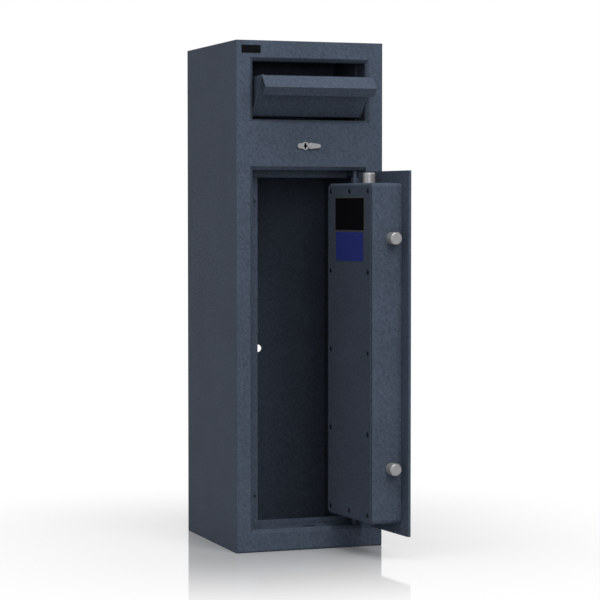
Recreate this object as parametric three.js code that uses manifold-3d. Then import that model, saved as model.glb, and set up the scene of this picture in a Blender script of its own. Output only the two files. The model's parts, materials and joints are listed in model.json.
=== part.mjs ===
// Drop safe with a tilting deposit drawer, shown with its door and its drawer open.
// Lengths are millimetres, +Z is up and the front faces -Y. The origin is the middle of the base.
import * as THREE from 'three';
import { ConvexGeometry } from 'three/addons/geometries/ConvexGeometry.js';
import { mergeVertices } from 'three/addons/utils/BufferGeometryUtils.js';
import Module from 'manifold-3d';

const wasm = await Module();
wasm.setup();
const { Manifold, Mesh } = wasm;

// Driving sizes. A place measured "back" runs from the front face into the body.
const seam = 0.3;
const overrun = 2;
const weld = 1e-4;
const facets = 32;
const curveSteps = 4;
const bevelSteps = 2;
const bendSteps = 3;
const body = { width: 352, depth: 373, height: 1150, wall: 4, bend: 5, bottomFold: 6 };
const opening = { margin: 41, bevel: 8, reveal: 57, sheet: 3, weldFlange: 12 };
const deposit = { belowTop: 46, height: 130 };
const doorway = { bottom: 50.5, belowTop: 289 };
const rebate = { lockSide: 28.5, hingeSide: 10, head: 16, sill: 13.5, cornerGap: 14 };
const anchor = { radius: 9, rearHeight: 435.5, floorBack: 120 };

const door = { recess: 3, plate: 6, corner: 2, lockGap: 2.5, hingeGap: 5.5, endGap: 3, openDegrees: 95.6 };
const hinge = { inset: 21, back: 16, pinRadius: 4.4, running: 0.1, seatDepth: 5, collarRadius: 6 };
const hingeBlock = { width: 13, height: 14, depth: 13.5, pinReach: 10 };
const pan = { lockMargin: 31.3, hingeMargin: 9.7, endMargin: 27, depth: 72 };
const panSheet = { thickness: 2.5, corner: 10, bend: 5.6, lip: 30 };
const cover = { thickness: 2, round: 0.6, inset: 5 };
const coverScrew = { hole: 6, pilot: 2, lockInset: 20.7, hingeInset: 16.9, endInset: 18, rows: 5 };

const bolt = { radius: 14, back: 25, standing: 24, inside: 37, chamfer: 2.5, clear: 0.5, spread: 507 };
const boltThrow = 22;
const guide = { wall: 6, length: 9 };
const bar = { thickness: 6, front: 13, depth: 24, overhang: 22 };
const cam = { thickness: 5, radius: 24, back: 21, pinRadius: 3, play: 0.65, swing: Math.PI / 2 };
const tongue = { thickness: 4, gap: 2, low: 8, high: 30, beyond: 12 };
const lug = { from: 31.7, width: 6, engage: 8 };
const rod = { gap: 1, thickness: 4, width: 14, headWidth: 21, headDrop: 11, headOffset: 3, foot: 4 };
const spindle = { radius: 6, clear: 1 };

const handle = { rose: 22, roseThickness: 5.5, hub: 12, reach: 34 };
const lever = { length: 88, width: 20, depth: 12, round: 1.2 };
const doorLock = { width: 66, height: 84, depth: 24, offset: 50, side: 9, keyHeight: 42, keySide: 28 };
const lockBolt = { width: 14, depth: 12, front: 11, length: 40, travel: 14, play: 0.3 };

const escutcheon = { centre: 9, lobe: 6, spread: 12, thickness: 3, screwRadius: 2 };
const keyhole = { radius: 3.4, slotWidth: 3.6, slotHeight: 13 };
const keyCover = { boss: 7, tip: 4.5, reach: 20, thickness: 2.2, rivet: 2.4, rivetHead: 1.2 };
const keyTube = { radius: 8, wall: 1.6, pinRadius: 1.8 };

const drawer = { openDegrees: 42.6, back: 26, up: 22, sheet: 3, endGap: 3 };
const drawerFace = { front: 9, below: 11, above: 105.5 };
const lip = { reach: 33, drop: 24.6, sag: 3.4 };
const cheek = { thickness: 3, gap: 1.5, rearReach: 135, corner: 6 };
const tray = { start: 4, length: 175, slopeDegrees: 14 };
const drawerPin = { radius: 5, running: 0.1, head: 8, headThickness: 4 };
const catchPlate = { width: 32, from: 8, to: 26, low: 19, thickness: 3, play: 0.5 };

const chute = { wall: 4, inset: 4, flange: 15, drop: 44, past: 13 };
const baffle = { clear: 4.4, thickness: 3, hang: 100, teeth: 12, toothHeight: 9 };
const lockCover = { thickness: 3, drop: 124, topGap: 1, sideGap: 1 };
const depositLock = { width: 60, height: 65, depth: 26.7, keyUp: 35.4, keyBelow: 58.6, keySide: -13 };
const depositBolt = { width: 20, depth: 8, back: 38, length: 45, travel: 12, past: 2 };

const badge = { width: 44.9, height: 17.3, thickness: 1, left: 12.5, below: 10.9 };
const dataPlate = { width: 139.3, height: 71.4, thickness: 0.8, fromLockEdge: 37.5, below: 32.7 };
const label = { width: 133.1, height: 63.6, thickness: 0.4, fromLockEdge: 41.4, gap: 4.8 };

// Places worked out from the sizes
const front = -body.depth / 2;
const rear = body.depth / 2;
const halfOpening = body.width / 2 - opening.margin;
const doorTop = body.height - doorway.belowTop;
const depositTop = body.height - deposit.belowTop;
const depositBottom = depositTop - deposit.height;
const revealBack = front + opening.reveal;
const plate = {
  left: -halfOpening + door.lockGap,
  right: halfOpening - door.hingeGap,
  low: doorway.bottom + door.endGap,
  high: doorTop - door.endGap,
  front: front + door.recess,
};
plate.back = plate.front + door.plate;
const box = {
  left: plate.left + pan.lockMargin,
  right: plate.right - pan.hingeMargin,
  low: plate.low + pan.endMargin + seam,
  high: plate.high - pan.endMargin - seam,
  front: plate.back + seam,
};
box.back = box.front + pan.depth;
box.middle = (box.left + box.right) / 2;
box.centre = (box.low + box.high) / 2;
const hingeAxis = { x: halfOpening - hinge.inset, y: front + hinge.back };
const boltLine = plate.back + bolt.back;
const boltHoleRadius = bolt.radius + bolt.clear;
const drawerAxis = { y: front + drawer.back, z: depositBottom + drawer.up };
const catchTop = drawerAxis.z - catchPlate.low + catchPlate.thickness;
const depositBoltTop = catchTop + depositBolt.past - depositBolt.travel;
const depositKey = { x: depositLock.keySide, z: depositBottom - depositLock.keyBelow };
const depositLockLow = depositKey.z - depositLock.keyUp;
const depositBoltY = [front + depositBolt.back, front + depositBolt.back + depositBolt.depth];

// The drawer's section, drawn shut and measured from its pins
const panelFront = -drawerFace.front;
const panelBack = panelFront + drawer.sheet;
const trayAngle = THREE.MathUtils.degToRad(tray.slopeDegrees);
const trayStart = panelBack + seam;
const trayEnd = trayStart + tray.length * Math.cos(trayAngle);
const trayTop = (y) => -tray.start - (y - trayStart) * Math.tan(trayAngle);

// The baffle hangs just clear of the arc that the tray's rear edge makes
const baffleLow = body.height - baffle.hang;
const swing = Math.hypot(trayEnd, trayTop(trayEnd) - drawer.sheet);
const baffleFront = drawerAxis.y + Math.sqrt(swing ** 2 - (baffleLow - drawerAxis.z) ** 2) + baffle.clear;

// Materials
function surface(color, roughness, metalness) {
  return new THREE.MeshStandardMaterial({ color, roughness, metalness });
}
const coat = surface(0x464d5a, 0.55, 0.25);
const darkCoat = surface(0x2f353e, 0.6, 0.25);
const chrome = surface(0xc9ccd0, 0.16, 1);
const steel = surface(0x9a9da1, 0.4, 0.9);
const black = surface(0x0c0d0f, 0.4, 0);
const blue = surface(0x20295e, 0.45, 0);

// Solids
function solid(geometry) {
  const bare = new THREE.BufferGeometry();
  bare.setAttribute('position', geometry.getAttribute('position'));
  if (geometry.index) bare.setIndex(geometry.index);
  const welded = mergeVertices(bare, weld);
  const vertProperties = new Float32Array(welded.getAttribute('position').array);
  const triVerts = new Uint32Array(welded.index.array);
  return new Manifold(new Mesh({ numProp: 3, vertProperties, triVerts }));
}

function toGeometry(shape) {
  const mesh = shape.getMesh();
  const geometry = new THREE.BufferGeometry();
  const points = new Float32Array(mesh.vertProperties);
  geometry.setAttribute('position', new THREE.BufferAttribute(points, mesh.numProp));
  geometry.setIndex(new THREE.BufferAttribute(new Uint32Array(mesh.triVerts), 1));
  const flat = geometry.toNonIndexed();
  flat.computeVertexNormals();
  return flat;
}

function block(x, y, z) {
  const geometry = new THREE.BoxGeometry(x[1] - x[0], y[1] - y[0], z[1] - z[0]);
  geometry.translate((x[0] + x[1]) / 2, (y[0] + y[1]) / 2, (z[0] + z[1]) / 2);
  return solid(geometry);
}

// A round bar between two values along one axis, centred on the other two
function round(axis, radius, span, centre, sides = facets) {
  const geometry = new THREE.CylinderGeometry(radius, radius, span[1] - span[0], sides);
  if (axis === 'z') geometry.rotateX(Math.PI / 2);
  if (axis === 'x') geometry.rotateZ(Math.PI / 2);
  const middle = (span[0] + span[1]) / 2;
  if (axis === 'z') geometry.translate(centre[0], centre[1], middle);
  if (axis === 'x') geometry.translate(middle, centre[0], centre[1]);
  if (axis === 'y') geometry.translate(centre[0], middle, centre[1]);
  return solid(geometry);
}

// A turned bar along +Z: pairs of radius and height, closed on the axis
function turned(profile) {
  const points = profile.map(([radius, height]) => new THREE.Vector2(radius, height));
  const geometry = new THREE.LatheGeometry(points, facets);
  geometry.rotateX(Math.PI / 2);
  return solid(geometry);
}

// An outline drawn in X and Z, made thick along Y between two values
function upright(shape, y, bevel = 0, steps = bevelSteps) {
  const settings = {
    depth: y[1] - y[0] - 2 * bevel,
    curveSegments: curveSteps,
    bevelEnabled: bevel > 0,
    bevelThickness: bevel,
    bevelSize: bevel,
    bevelOffset: -bevel,
    bevelSegments: steps,
  };
  const geometry = new THREE.ExtrudeGeometry(shape, settings);
  geometry.rotateX(Math.PI / 2);
  geometry.translate(0, y[1] - bevel, 0);
  return solid(geometry);
}

// An outline drawn in X and Y, made tall along Z between two values
function tall(shape, z) {
  const settings = { depth: z[1] - z[0], bevelEnabled: false, curveSegments: curveSteps };
  const geometry = new THREE.ExtrudeGeometry(shape, settings);
  geometry.translate(0, 0, z[0]);
  return solid(geometry);
}

// An outline drawn in Y and Z, made wide along X between two values
function wide(shape, x) {
  const settings = { depth: x[1] - x[0], bevelEnabled: false, curveSegments: curveSteps };
  const geometry = new THREE.ExtrudeGeometry(shape, settings);
  geometry.rotateY(Math.PI / 2);
  geometry.rotateX(Math.PI / 2);
  geometry.translate(x[0], 0, 0);
  return solid(geometry);
}

function polygon(points) {
  return new THREE.Shape(points.map(([a, b]) => new THREE.Vector2(a, b)));
}

function roundedRectangle(low, high, radius) {
  const shape = new THREE.Shape();
  shape.moveTo(low[0] + radius, low[1]);
  shape.lineTo(high[0] - radius, low[1]);
  shape.absarc(high[0] - radius, low[1] + radius, radius, -Math.PI / 2, 0, false);
  shape.lineTo(high[0], high[1] - radius);
  shape.absarc(high[0] - radius, high[1] - radius, radius, 0, Math.PI / 2, false);
  shape.lineTo(low[0] + radius, high[1]);
  shape.absarc(low[0] + radius, high[1] - radius, radius, Math.PI / 2, Math.PI, false);
  shape.lineTo(low[0], low[1] + radius);
  shape.absarc(low[0] + radius, low[1] + radius, radius, Math.PI, Math.PI * 1.5, false);
  return shape;
}

// The four-sided funnel between two upright rectangles, each grown by its own margin
function funnel(low, high, nearY, nearGrow, farY, farGrow) {
  const points = [];
  for (const [y, grow] of [[nearY, nearGrow], [farY, farGrow]]) {
    for (const x of [low[0] - grow, high[0] + grow]) {
      for (const z of [low[1] - grow, high[1] + grow]) points.push(new THREE.Vector3(x, y, z));
    }
  }
  return solid(new ConvexGeometry(points));
}

function place(group, name, shape, material) {
  const mesh = new THREE.Mesh(toGeometry(shape), material);
  mesh.name = name;
  group.add(mesh);
}

const safe = new THREE.Group();

// Outer shell: one sheet folded round the front, with both openings bevelled through it
const doorwayLow = [-halfOpening, doorway.bottom];
const doorwayHigh = [halfOpening, doorTop];
const depositLow = [-halfOpening, depositBottom];
const depositHigh = [halfOpening, depositTop];

function shellOutline(inset) {
  const side = body.width / 2 - inset;
  const face = front + inset;
  const radius = body.bend - inset;
  const shape = new THREE.Shape();
  shape.moveTo(-side, rear);
  shape.lineTo(-side, face + radius);
  shape.absarc(-side + radius, face + radius, radius, Math.PI, Math.PI * 1.5, false);
  shape.lineTo(side - radius, face);
  shape.absarc(side - radius, face + radius, radius, Math.PI * 1.5, Math.PI * 2, false);
  shape.lineTo(side, rear);
  return shape;
}

function bevelledHole(low, high) {
  const slack = opening.bevel + overrun;
  return funnel(low, high, front - overrun, slack, front + opening.bevel, 0);
}

// The doorway's bevel stops at the hinge side, where the sheet's edge is left square
function doorwayHole() {
  const hingeSide = block([halfOpening, body.width], [front - body.depth, rear], [0, body.height]);
  return bevelledHole(doorwayLow, doorwayHigh).subtract(hingeSide);
}

const frontSheet = [front - overrun, front + body.wall + overrun];

// What the rounded fold along the bottom of the front takes off
function bottomFoldCut() {
  const span = [-body.width / 2 - overrun, body.width / 2 + overrun];
  const centre = [front + body.bottomFold, body.bottomFold];
  return block(span, [front - overrun, centre[0]], [-overrun, centre[1]])
    .subtract(round('x', body.bottomFold, [span[0] - overrun, span[1] + overrun], centre));
}

function makeShell() {
  const filled = tall(shellOutline(0), [0, body.height]);
  const hollow = tall(shellOutline(body.wall), [-overrun, body.height + overrun]);
  const backCut = block([-body.width / 2 + body.wall, body.width / 2 - body.wall],
    [rear - overrun, rear + overrun], [-overrun, body.height + overrun]);
  return filled.subtract(hollow).subtract(backCut)
    .subtract(doorwayHole())
    .subtract(bevelledHole(depositLow, depositHigh))
    .subtract(round('y', keyTube.radius + seam, frontSheet, [depositKey.x, depositKey.z]))
    .subtract(bottomFoldCut());
}
place(safe, 'outer_shell', makeShell(), coat);

// Top, base and rear panels, welded inside the shell
function endPanel(z) {
  const panel = tall(shellOutline(body.wall + seam), z);
  const past = rear - body.wall - seam;
  const through = [z[0] - overrun, z[1] + overrun];
  return panel.subtract(block([-body.width, body.width], [past, rear + overrun], through));
}
place(safe, 'top_panel', endPanel([body.height - body.wall, body.height]), coat);

const floorHole = round('z', anchor.radius, [-overrun, body.wall + overrun], [0, front + anchor.floorBack]);
place(safe, 'base_panel', endPanel([0, body.wall]).subtract(floorHole), darkCoat);

const panelSide = body.width / 2 - body.wall - seam;
const rearSheet = [rear - body.wall - overrun, rear + overrun];
const rearHole = round('y', anchor.radius, rearSheet, [0, anchor.rearHeight]);
place(safe, 'rear_panel',
  block([-panelSide, panelSide], [rear - body.wall, rear], [0, body.height]).subtract(rearHole), coat);

// Folded frames behind the front sheet: weld flange, bevel and reveal
function openingFrame(low, high, hole) {
  const start = front + body.wall + seam;
  const grow = (by) => [[low[0] - by, high[0] + by], [low[1] - by, high[1] + by]];
  const [flangeX, flangeZ] = grow(opening.bevel + opening.weldFlange);
  const [tubeX, tubeZ] = grow(opening.sheet);
  const [holeX, holeZ] = grow(0);
  const weldBack = front + opening.bevel;
  return block(flangeX, [start, weldBack], flangeZ)
    .add(block(tubeX, [start, revealBack], tubeZ))
    .subtract(hole)
    .subtract(block(holeX, [weldBack - seam, revealBack + overrun], holeZ));
}

function makeDepositFrame() {
  const across = [-body.width, body.width];
  const pinHole = round('x', drawerPin.radius + seam, across, [drawerAxis.y, drawerAxis.z]);
  const slotHalf = depositBolt.width / 2 + catchPlate.play;
  const boltSlot = block([-slotHalf, slotHalf],
    [depositBoltY[0] - catchPlate.play, depositBoltY[1] + catchPlate.play],
    [depositBottom - opening.sheet - overrun, depositBottom + overrun]);
  return openingFrame(depositLow, depositHigh, bevelledHole(depositLow, depositHigh))
    .subtract(pinHole).subtract(boltSlot);
}
place(safe, 'deposit_frame', makeDepositFrame(), darkCoat);

function makeDoorFrame() {
  const sideHoles = [-1, 1].map((end) => round('x', boltHoleRadius,
    [-halfOpening - opening.sheet - overrun, -halfOpening + overrun],
    [boltLine, box.centre + end * bolt.spread / 2]));
  const upward = [doorway.bottom - opening.sheet - overrun, doorTop + opening.sheet + overrun];
  const endHole = round('z', boltHoleRadius, upward, [box.middle, boltLine]);
  const pinHole = round('z', hinge.pinRadius + seam, upward, [hingeAxis.x, hingeAxis.y]);
  let frame = openingFrame(doorwayLow, doorwayHigh, doorwayHole());
  for (const cut of [...sideHoles, endHole, pinHole]) frame = frame.subtract(cut);
  return frame;
}
place(safe, 'door_frame', makeDoorFrame(), coat);

// Rebate ring welded behind the door's reveal, cut back beside the hinge
const flangeBack = revealBack + opening.sheet;

function makeRebateRing() {
  const outerX = halfOpening + opening.sheet;
  const ring = block([-outerX, outerX], [revealBack + seam, flangeBack],
    [doorway.bottom - opening.sheet, doorTop + opening.sheet]);
  const passX = [-halfOpening + rebate.lockSide, halfOpening - rebate.hingeSide];
  const passZ = [doorway.bottom + rebate.sill, doorTop - rebate.head];
  const through = [revealBack - overrun, flangeBack + overrun];
  const pass = block(passX, through, passZ);
  const relief = block([passX[1] - rebate.cornerGap, passX[1]], through, [doorway.bottom, doorTop]);
  return ring.subtract(pass).subtract(relief);
}
place(safe, 'rebate_ring', makeRebateRing(), coat);

// Deposit chamber: side walls, toothed baffle and the cover over the lock space
const wallIn = halfOpening - chute.inset;

function chuteWall(side) {
  const outer = wallIn + chute.wall;
  const start = revealBack + seam;
  const end = baffleFront + chute.past;
  const outline = polygon([
    [side * wallIn, start], [side * (outer + chute.flange), start],
    [side * (outer + chute.flange), start + opening.sheet], [side * outer, start + opening.sheet],
    [side * outer, end], [side * wallIn, end],
  ]);
  return tall(outline, [depositBottom - chute.drop, body.height - body.wall - seam]);
}
place(safe, 'chute_wall_left', chuteWall(-1), darkCoat);
place(safe, 'chute_wall_right', chuteWall(1), darkCoat);

function makeBaffle() {
  const half = wallIn - seam;
  const pitch = 2 * half / baffle.teeth;
  const points = [[half, body.height - body.wall - seam], [-half, body.height - body.wall - seam]];
  for (let tooth = 0; tooth < baffle.teeth; tooth += 1) {
    const from = -half + tooth * pitch;
    points.push([from, baffleLow + baffle.toothHeight], [from + pitch / 2, baffleLow]);
  }
  points.push([half, baffleLow + baffle.toothHeight]);
  return upright(polygon(points), [baffleFront, baffleFront + baffle.thickness]);
}
place(safe, 'baffle_plate', makeBaffle(), darkCoat);

const coverHalf = wallIn - lockCover.sideGap;
const coverTop = depositBottom - lockCover.topGap;
const coverStart = flangeBack + seam;
place(safe, 'lock_space_cover', block([-coverHalf, coverHalf],
  [coverStart, coverStart + lockCover.thickness], [depositBottom - lockCover.drop, coverTop]), darkCoat);

// Deposit lock: case, bolt, key tube with its pin, escutcheon and swing cover
const caseBack = flangeBack;
const caseFront = caseBack - depositLock.depth;

function makeDepositLockCase() {
  const channel = block(
    [-depositBolt.width / 2 - lockBolt.play, depositBolt.width / 2 + lockBolt.play],
    [depositBoltY[0] - lockBolt.play, depositBoltY[1] + lockBolt.play],
    [depositBoltTop - depositBolt.length - seam, depositLockLow + depositLock.height + overrun]);
  const keyHole = round('y', keyTube.radius - keyTube.wall, [caseFront - overrun, depositBoltY[0]],
    [depositKey.x, depositKey.z]);
  return block([-depositLock.width / 2, depositLock.width / 2], [caseFront, caseBack],
    [depositLockLow, depositLockLow + depositLock.height]).subtract(channel).subtract(keyHole);
}
place(safe, 'deposit_lock_case', makeDepositLockCase(), steel);

const depositBoltBar = new THREE.Group();
place(depositBoltBar, 'deposit_lock_bolt', block([-depositBolt.width / 2, depositBolt.width / 2],
  depositBoltY, [depositBoltTop - depositBolt.length, depositBoltTop]), steel);
safe.add(depositBoltBar);

function keyGuide(x, z, y) {
  const wallRound = round('y', keyTube.radius, y, [x, z]);
  const bore = round('y', keyTube.radius - keyTube.wall, [y[0] - overrun, y[1] - keyTube.wall], [x, z]);
  return wallRound.subtract(bore).add(round('y', keyTube.pinRadius, y, [x, z]));
}
place(safe, 'deposit_key_tube', keyGuide(depositKey.x, depositKey.z, [front, caseFront - seam]), chrome);

function keySlot(x, z, y) {
  const halfWidth = keyhole.slotWidth / 2;
  const halfHeight = keyhole.slotHeight / 2;
  return round('y', keyhole.radius, y, [x, z])
    .add(block([x - halfWidth, x + halfWidth], y, [z - halfHeight, z + halfHeight]));
}

function escutcheonPlate(x, z, back) {
  const y = [back - escutcheon.thickness, back];
  const cutY = [y[0] - overrun, y[1] + overrun];
  const bridge = block([x - escutcheon.spread, x + escutcheon.spread], y,
    [z - escutcheon.lobe, z + escutcheon.lobe]);
  return bridge.add(round('y', escutcheon.centre, y, [x, z]))
    .add(round('y', escutcheon.lobe, y, [x - escutcheon.spread, z]))
    .add(round('y', escutcheon.lobe, y, [x + escutcheon.spread, z]))
    .subtract(keySlot(x, z, cutY))
    .subtract(round('y', escutcheon.screwRadius, [y[0] - overrun, back - escutcheon.thickness / 2],
      [x - escutcheon.spread, z]));
}

// A tapered lid that turns about the rivet at the right of the keyhole
function swingLid(x, z, back) {
  const y = [back - keyCover.thickness, back];
  const pivot = x + escutcheon.spread;
  const lean = Math.acos((keyCover.boss - keyCover.tip) / keyCover.reach);
  const shape = new THREE.Shape();
  shape.absarc(pivot, z, keyCover.boss, lean, Math.PI * 2 - lean, false);
  shape.absarc(pivot + keyCover.reach, z, keyCover.tip, -lean, lean, false);
  const rivetY = [y[0] - keyCover.rivetHead, y[0] + keyCover.rivetHead];
  const rivet = round('y', keyCover.rivet, rivetY, [pivot, z]);
  return upright(shape, y).add(rivet);
}

place(safe, 'deposit_escutcheon', escutcheonPlate(depositKey.x, depositKey.z, front - seam), chrome);

// A swing cover in a group of its own, so that it can turn on its rivet
function coverGroup(parent, name, x, z, back) {
  const turn = new THREE.Group();
  place(turn, name, swingLid(x, z, back - escutcheon.thickness - seam), chrome);
  parent.add(turn);
}
coverGroup(safe, 'deposit_key_cover', depositKey.x, depositKey.z, front - seam);

// Bare badge on the front
const badgeLeft = -body.width / 2 + badge.left;
const badgeTop = body.height - badge.below;
place(safe, 'front_badge', block([badgeLeft, badgeLeft + badge.width],
  [front - seam - badge.thickness, front - seam], [badgeTop - badge.height, badgeTop]), black);

// Deposit drawer, drawn shut about its pins and then tipped open
const drawerGroup = new THREE.Group();
drawerGroup.position.set(0, drawerAxis.y, drawerAxis.z);
drawerGroup.rotation.x = THREE.MathUtils.degToRad(drawer.openDegrees);
safe.add(drawerGroup);

const panelHalf = halfOpening - drawer.endGap;
const cheekOut = wallIn - cheek.gap;
const cheekIn = cheekOut - cheek.thickness;

// The panel folds forward at its top into a grip that hangs down in front
function drawerPanel() {
  const tipY = panelFront - lip.reach;
  const tipZ = drawerFace.above - lip.sag;
  const gripInner = tipY + drawer.sheet;
  const outline = polygon([
    [panelFront, -drawerFace.below], [panelBack, -drawerFace.below], [panelBack, drawerFace.above],
    [panelFront, drawerFace.above], [tipY, tipZ], [tipY, tipZ - lip.drop], [gripInner, tipZ - lip.drop],
    [gripInner, tipZ - drawer.sheet], [panelFront, drawerFace.above - drawer.sheet],
  ]);
  return wide(outline, [-panelHalf, panelHalf]);
}
place(drawerGroup, 'drawer_panel', drawerPanel(), coat);

function drawerCheek(side) {
  const outline = polygon([
    [trayStart, -tray.start - drawer.sheet], [trayStart, drawerFace.above - drawer.sheet],
    [trayStart + cheek.corner, drawerFace.above - drawer.sheet],
    [cheek.rearReach, trayTop(cheek.rearReach) + cheek.corner],
    [cheek.rearReach, trayTop(cheek.rearReach) - drawer.sheet],
  ]);
  const x = side < 0 ? [-cheekOut, -cheekIn] : [cheekIn, cheekOut];
  return wide(outline, x).subtract(round('x', drawerPin.radius + drawerPin.running,
    [x[0] - overrun, x[1] + overrun], [0, 0], facets * 2));
}
place(drawerGroup, 'drawer_cheek_left', drawerCheek(-1), coat);
place(drawerGroup, 'drawer_cheek_right', drawerCheek(1), coat);

function drawerTray() {
  const outline = polygon([
    [trayStart, trayTop(trayStart)], [trayStart, trayTop(trayStart) - drawer.sheet],
    [trayEnd, trayTop(trayEnd) - drawer.sheet], [trayEnd, trayTop(trayEnd)],
  ]);
  return wide(outline, [-cheekIn + seam, cheekIn - seam]);
}
place(drawerGroup, 'drawer_tray', drawerTray(), coat);

// The catch hangs under the tray, and the deposit lock's bolt rises into its hole
function drawerCatch() {
  const half = catchPlate.width / 2;
  const underTray = (y) => trayTop(y) - drawer.sheet - seam;
  const webStart = catchPlate.to - catchPlate.thickness;
  const foot = polygon([
    [catchPlate.from, -catchPlate.low], [catchPlate.to, -catchPlate.low],
    [catchPlate.to, underTray(catchPlate.to)],
    [webStart, underTray(webStart)], [webStart, -catchPlate.low + catchPlate.thickness],
    [catchPlate.from, -catchPlate.low + catchPlate.thickness],
  ]);
  const boltHalf = depositBolt.width / 2 + catchPlate.play;
  const boltFront = depositBolt.back - drawer.back;
  return wide(foot, [-half, half]).subtract(block([-boltHalf, boltHalf],
    [boltFront - catchPlate.play, boltFront + depositBolt.depth + catchPlate.play],
    [-catchPlate.low - overrun, -catchPlate.low + catchPlate.thickness + seam]));
}
place(drawerGroup, 'drawer_catch', drawerCatch(), steel);

// Headed pivot pins, fixed in the reveal and running in the cheeks
function pivotPin(side) {
  const headFrom = halfOpening + opening.sheet + seam;
  const headTo = headFrom + drawerPin.headThickness;
  const headed = turned([
    [0, cheekIn], [drawerPin.radius, cheekIn], [drawerPin.radius, headFrom],
    [drawerPin.head, headFrom], [drawerPin.head, headTo], [0, headTo], [0, cheekIn],
  ]);
  return headed.rotate([0, side * 90, 0]).translate([0, drawerAxis.y, drawerAxis.z]);
}
place(safe, 'drawer_pin_left', pivotPin(-1), steel);
place(safe, 'drawer_pin_right', pivotPin(1), steel);

// Door hinge pins in the frame, the lower one with a collar that carries the door
const blockLow = box.low - seam - hingeBlock.height;
const blockHigh = box.high + seam + hingeBlock.height;

function hingePin(from, to, collar) {
  const pin = round('z', hinge.pinRadius, [from, to], [hingeAxis.x, hingeAxis.y], facets * 2);
  return collar ? pin.add(round('z', hinge.collarRadius, collar, [hingeAxis.x, hingeAxis.y])) : pin;
}
place(safe, 'hinge_pin_lower', hingePin(doorway.bottom - hinge.seatDepth, blockLow + hingeBlock.pinReach,
  [doorway.bottom + seam, blockLow - seam]), coat);
place(safe, 'hinge_pin_upper', hingePin(blockHigh - hingeBlock.pinReach, doorTop + hinge.seatDepth), coat);

// Door, drawn shut in the body's own places and then swung open about the hinge axis
const doorSwing = new THREE.Group();
doorSwing.position.set(hingeAxis.x, hingeAxis.y, 0);
doorSwing.rotation.z = THREE.MathUtils.degToRad(door.openDegrees);
safe.add(doorSwing);
const doorGroup = new THREE.Group();
doorGroup.position.set(-hingeAxis.x, -hingeAxis.y, 0);
doorSwing.add(doorGroup);

const barLeft = box.left + bolt.inside + seam;
const barRight = barLeft + bar.thickness;
const lugLeft = barRight + lug.from;
const lockCase = {
  left: lugLeft - lockBolt.play - lockBolt.width - doorLock.side,
  low: box.centre + doorLock.offset,
};
lockCase.right = lockCase.left + doorLock.width;
lockCase.high = lockCase.low + doorLock.height;
const doorKey = { x: lockCase.left + doorLock.keySide, z: lockCase.low + doorLock.keyHeight };

function makeDoorPlate() {
  const outline = roundedRectangle([plate.left, plate.low], [plate.right, plate.high], door.corner);
  const through = [plate.front - overrun, plate.back + overrun];
  return upright(outline, [plate.front, plate.back])
    .subtract(round('y', spindle.radius + spindle.clear, through, [box.middle, box.centre]))
    .subtract(round('y', keyTube.radius + seam, through, [doorKey.x, doorKey.z]));
}
place(doorGroup, 'door_plate', makeDoorPlate(), coat);

// The inner cover's screws: a row along each upright edge, and one at the middle of each end
const screwX = [box.left + coverScrew.lockInset, box.right - coverScrew.hingeInset];
const screwZ = [box.low + coverScrew.endInset, box.high - coverScrew.endInset];
const screwPlaces = screwZ.map((z) => [box.middle, z]);
for (let row = 0; row < coverScrew.rows; row += 1) {
  const z = screwZ[0] + (screwZ[1] - screwZ[0]) * row / (coverScrew.rows - 1);
  for (const x of screwX) screwPlaces.push([x, z]);
}

function drilled(shape, radius, y) {
  return screwPlaces.reduce((rest, place) => rest.subtract(round('y', radius, y, place, facets / 2)), shape);
}

// Folded box behind the plate, open toward it, with a return flange for the inner cover
function makeDoorBox() {
  const low = [box.left, box.low];
  const high = [box.right, box.high];
  const inward = (by) => [[low[0] + by, low[1] + by], [high[0] - by, high[1] - by]];
  const [innerLow, innerHigh] = inward(panSheet.thickness);
  const [lipLow, lipHigh] = inward(panSheet.lip);
  const through = [box.front - overrun, box.back + overrun];
  const outline = roundedRectangle(low, high, panSheet.corner);
  const innerOutline = roundedRectangle(innerLow, innerHigh, panSheet.corner - panSheet.thickness);
  const start = box.front - panSheet.bend - overrun;
  const open = block([box.left - overrun, box.right + overrun], [start - overrun, box.front],
    [box.low - overrun, box.high + overrun]);
  let shape = upright(outline, [start, box.back], panSheet.bend, bendSteps).subtract(open)
    .subtract(upright(innerOutline, [start, box.back - panSheet.thickness],
      panSheet.bend - panSheet.thickness, bendSteps))
    .subtract(upright(roundedRectangle(lipLow, lipHigh, panSheet.thickness), through));
  const sideWall = [box.left - overrun, box.left + panSheet.thickness + overrun];
  for (const end of [-1, 1]) {
    const place = [boltLine, box.centre + end * bolt.spread / 2];
    shape = shape.subtract(round('x', boltHoleRadius, sideWall, place));
  }
  const upward = [box.low - overrun, box.high + overrun];
  shape = shape.subtract(round('z', boltHoleRadius, upward, [box.middle, boltLine]));
  return drilled(shape, coverScrew.pilot, [box.back - panSheet.thickness - overrun, box.back + overrun]);
}
place(doorGroup, 'door_box', makeDoorBox(), coat);

const coverY = [box.back + seam, box.back + seam + cover.thickness];
const coverOutline = roundedRectangle([box.left + cover.inset, box.low + cover.inset],
  [box.right - cover.inset, box.high - cover.inset], panSheet.corner - cover.inset);
place(doorGroup, 'door_inner_cover', drilled(upright(coverOutline, coverY, cover.round),
  coverScrew.hole, [coverY[0] - overrun, coverY[1] + overrun]), darkCoat);

// Bare plates on the inner cover
function coverPlate(fromLockEdge, topZ, size, material, name) {
  const x = box.left + fromLockEdge;
  const y = [coverY[1] + seam, coverY[1] + seam + size.thickness];
  place(doorGroup, name, block([x, x + size.width], y, [topZ - size.height, topZ]), material);
}
const dataTop = box.high - dataPlate.below;
coverPlate(dataPlate.fromLockEdge, dataTop, dataPlate, black, 'data_plate');
coverPlate(label.fromLockEdge, dataTop - dataPlate.height - label.gap, label, blue, 'blue_label');

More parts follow.
